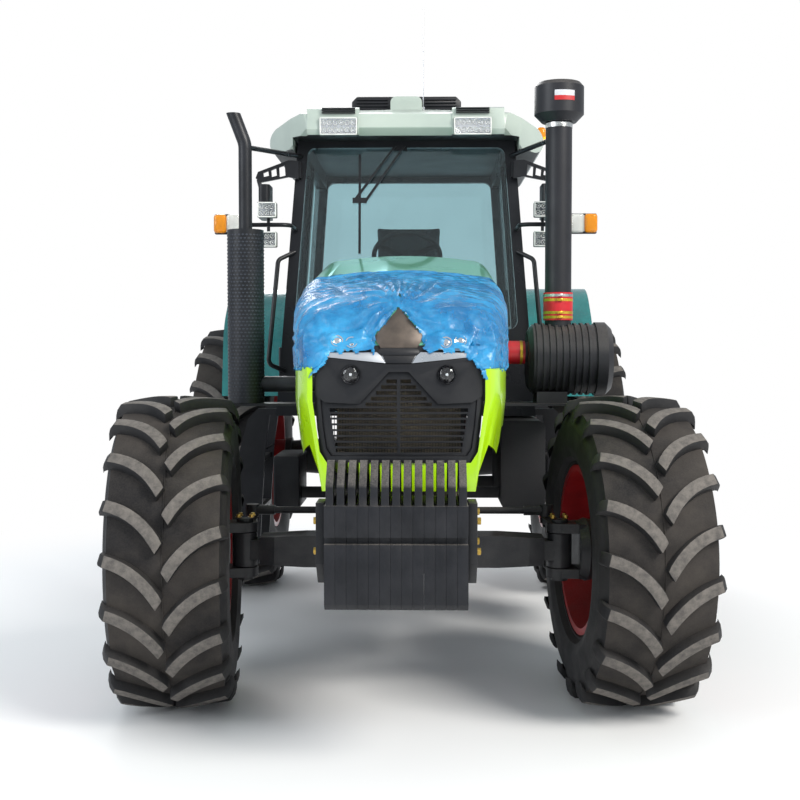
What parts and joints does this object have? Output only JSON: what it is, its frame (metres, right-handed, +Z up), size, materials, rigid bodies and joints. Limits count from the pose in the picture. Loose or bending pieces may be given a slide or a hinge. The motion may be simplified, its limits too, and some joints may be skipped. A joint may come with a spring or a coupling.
{
  "type": "farm tractor",
  "caption": "Four-wheel-drive farm tractor with cab, front suitcase weights, steered front axle, opening doors and bonnet, and a rear three-point linkage.",
  "frame": {"origin": "on the floor, at the middle of the tractor's length, on its centre plane", "axes": "-Y forwards, +X to the tractor's left, +Z up"},
  "size_m": [2.8932, 5.33, 3.6899],
  "materials": {
    "black_metal": "satin",
    "cast_grey": "satin",
    "weight_grey": "dusty satin",
    "rim_red": "gloss",
    "tyre": "dusty matt",
    "lime": "gloss",
    "green": "gloss",
    "film_blue": "gloss",
    "cream": "gloss",
    "dark_plastic": "matt",
    "glass": "clear",
    "seat_fabric": "matt",
    "hose_red": "satin",
    "lamp_clear": "gloss",
    "bright_steel": "satin",
    "shield_grey": "satin",
    "black_rubber": "matt",
    "teal": "gloss"
  },
  "bodies": {
    "chassis": {"air_cleaner": "black_metal", "aircon_unit": "dark_plastic", "antenna": "black_metal", "cab_floor": "black_metal", "cab_frame": "black_metal", "cab_glass": "glass", "cab_roof": "cream", "cab_steps": "black_metal", "dashboard": "dark_plastic", "drawbar": "black_metal", "engine_block": "cast_grey", "engine_brackets": "black_metal", "exhaust_stack": "black_metal", "front_axle_beam": "black_metal", "front_frame": "cast_grey", "front_weights": "weight_grey", "fuel_tank": "dark_plastic", "intake_hoses": "hose_red", "intake_stack": "black_metal", "lamp_brackets": "black_metal", "lamps": "lamp_clear", "mirrors": "dark_plastic", "pto_stub": "bright_steel", "radiator": "black_metal", "rear_fenders": "teal", "seat_backrest": "seat_fabric", "seat_base": "black_metal", "seat_cushion": "seat_fabric", "toolbox": "black_metal", "transmission_housing": "cast_grey", "weight_carrier": "black_metal", "wiper": "dark_plastic"},
    "bonnet": {"bonnet_skin": "green", "nose_panels": "lime", "nose_frame": "dark_plastic", "grille": "dark_plastic", "nose_lamps": "lamp_clear", "nose_trim": "shield_grey", "bonnet_film": "film_blue"},
    "left_door": {"left_door_frame": "black_metal", "left_door_glass": "glass"},
    "right_door": {"right_door_frame": "black_metal", "right_door_glass": "glass"},
    "steering_wheel": {"steering_wheel": "black_rubber"},
    "steering_rod": {"steering_rod": "bright_steel"},
    "left_knuckle": {"front_left_knuckle": "black_metal"},
    "right_knuckle": {"front_right_knuckle": "black_metal"},
    "front_left_wheel": {"front_left_rim": "rim_red", "front_left_tyre": "tyre"},
    "front_right_wheel": {"front_right_rim": "rim_red", "front_right_tyre": "tyre"},
    "rear_left_wheel": {"rear_left_rim": "rim_red", "rear_left_tyre": "tyre"},
    "rear_right_wheel": {"rear_right_rim": "rim_red", "rear_right_tyre": "tyre"},
    "lift_arms": {"lift_arms": "black_metal"},
    "lift_rods": {"lift_rods": "black_metal"},
    "lower_links": {"lower_links": "black_metal"},
    "top_link": {"top_link": "black_metal"}
  },
  "joints": [
    {"name": "left_steering", "type": "hinge", "parent": "chassis", "child": "left_knuckle", "pos_m": [0.75, -1.485, 0.732], "axis": [0, 0, 1], "range_deg": [-40.5, 29.5]},
    {"name": "right_steering", "type": "hinge", "parent": "chassis", "child": "right_knuckle", "pos_m": [-0.75, -1.485, 0.732], "axis": [0, 0, 1], "range_deg": [-40.5, 29.5]},
    {"name": "steering_rod_slide", "type": "slide", "parent": "chassis", "child": "steering_rod", "axis": [1, 0, 0], "range_m": [-0.08406, 0.11522]},
    {"name": "steering_wheel_turn", "type": "hinge", "parent": "chassis", "child": "steering_wheel", "pos_m": [0, 0.3, 2.26], "axis": [0, 0.6428, 0.766], "range_deg": [-649, 473]},
    {"name": "front_left_wheel_spin", "type": "hinge", "parent": "left_knuckle", "child": "front_left_wheel", "pos_m": [1.05857, -1.45529, 0.732], "axis": [0.9954, 0.0958, 0], "continuous": true},
    {"name": "front_right_wheel_spin", "type": "hinge", "parent": "right_knuckle", "child": "front_right_wheel", "pos_m": [-1.05857, -1.51471, 0.732], "axis": [0.9954, 0.0958, 0], "continuous": true},
    {"name": "rear_left_wheel_spin", "type": "hinge", "parent": "chassis", "child": "rear_left_wheel", "pos_m": [1.18, 1.415, 0.9175], "axis": [1, 0, 0], "continuous": true},
    {"name": "rear_right_wheel_spin", "type": "hinge", "parent": "chassis", "child": "rear_right_wheel", "pos_m": [-1.18, 1.415, 0.9175], "axis": [1, 0, 0], "continuous": true},
    {"name": "left_door_hinge", "type": "hinge", "parent": "chassis", "child": "left_door", "pos_m": [0.71437, 0.397, 2], "axis": [-0.0736, 0, 0.9973], "range_deg": [0, 75]},
    {"name": "right_door_hinge", "type": "hinge", "parent": "chassis", "child": "right_door", "pos_m": [-0.71437, 0.397, 2], "axis": [-0.0736, 0, -0.9973], "range_deg": [0, 75]},
    {"name": "bonnet_hinge", "type": "hinge", "parent": "chassis", "child": "bonnet", "pos_m": [0, -0.352, 2.15], "axis": [-1, 0, 0], "range_deg": [0, 45]},
    {"name": "lift_shaft", "type": "hinge", "parent": "chassis", "child": "lift_arms", "pos_m": [0, 1.55, 1.3], "axis": [1, 0, 0], "range_deg": [-14, 46]},
    {"name": "lift_rod_pivot", "type": "hinge", "parent": "lift_arms", "child": "lift_rods", "pos_m": [0, 1.8702, 1.37983], "axis": [1, 0, 0], "range_deg": [-39.19, 12.27]},
    {"name": "lower_link_pivot", "type": "hinge", "parent": "chassis", "child": "lower_links", "pos_m": [0, 1.62, 0.62], "axis": [1, 0, 0], "range_deg": [-9.73, 30.81]},
    {"name": "top_link_pivot", "type": "hinge", "parent": "chassis", "child": "top_link", "pos_m": [0, 1.815, 1.105], "axis": [-1, 0, 0], "range_deg": [0, 90]}
  ],
  "couplings": [
    {"joint": "right_steering", "follows": "left_steering", "ratio": 1},
    {"joint": "steering_rod_slide", "follows": "left_steering", "m_per_rad": -0.1623},
    {"joint": "steering_wheel_turn", "follows": "left_steering", "ratio": 16},
    {"joint": "lift_rod_pivot", "follows": "lift_shaft", "ratio": -0.841},
    {"joint": "lower_link_pivot", "follows": "lift_shaft", "ratio": 0.659}
  ]
}
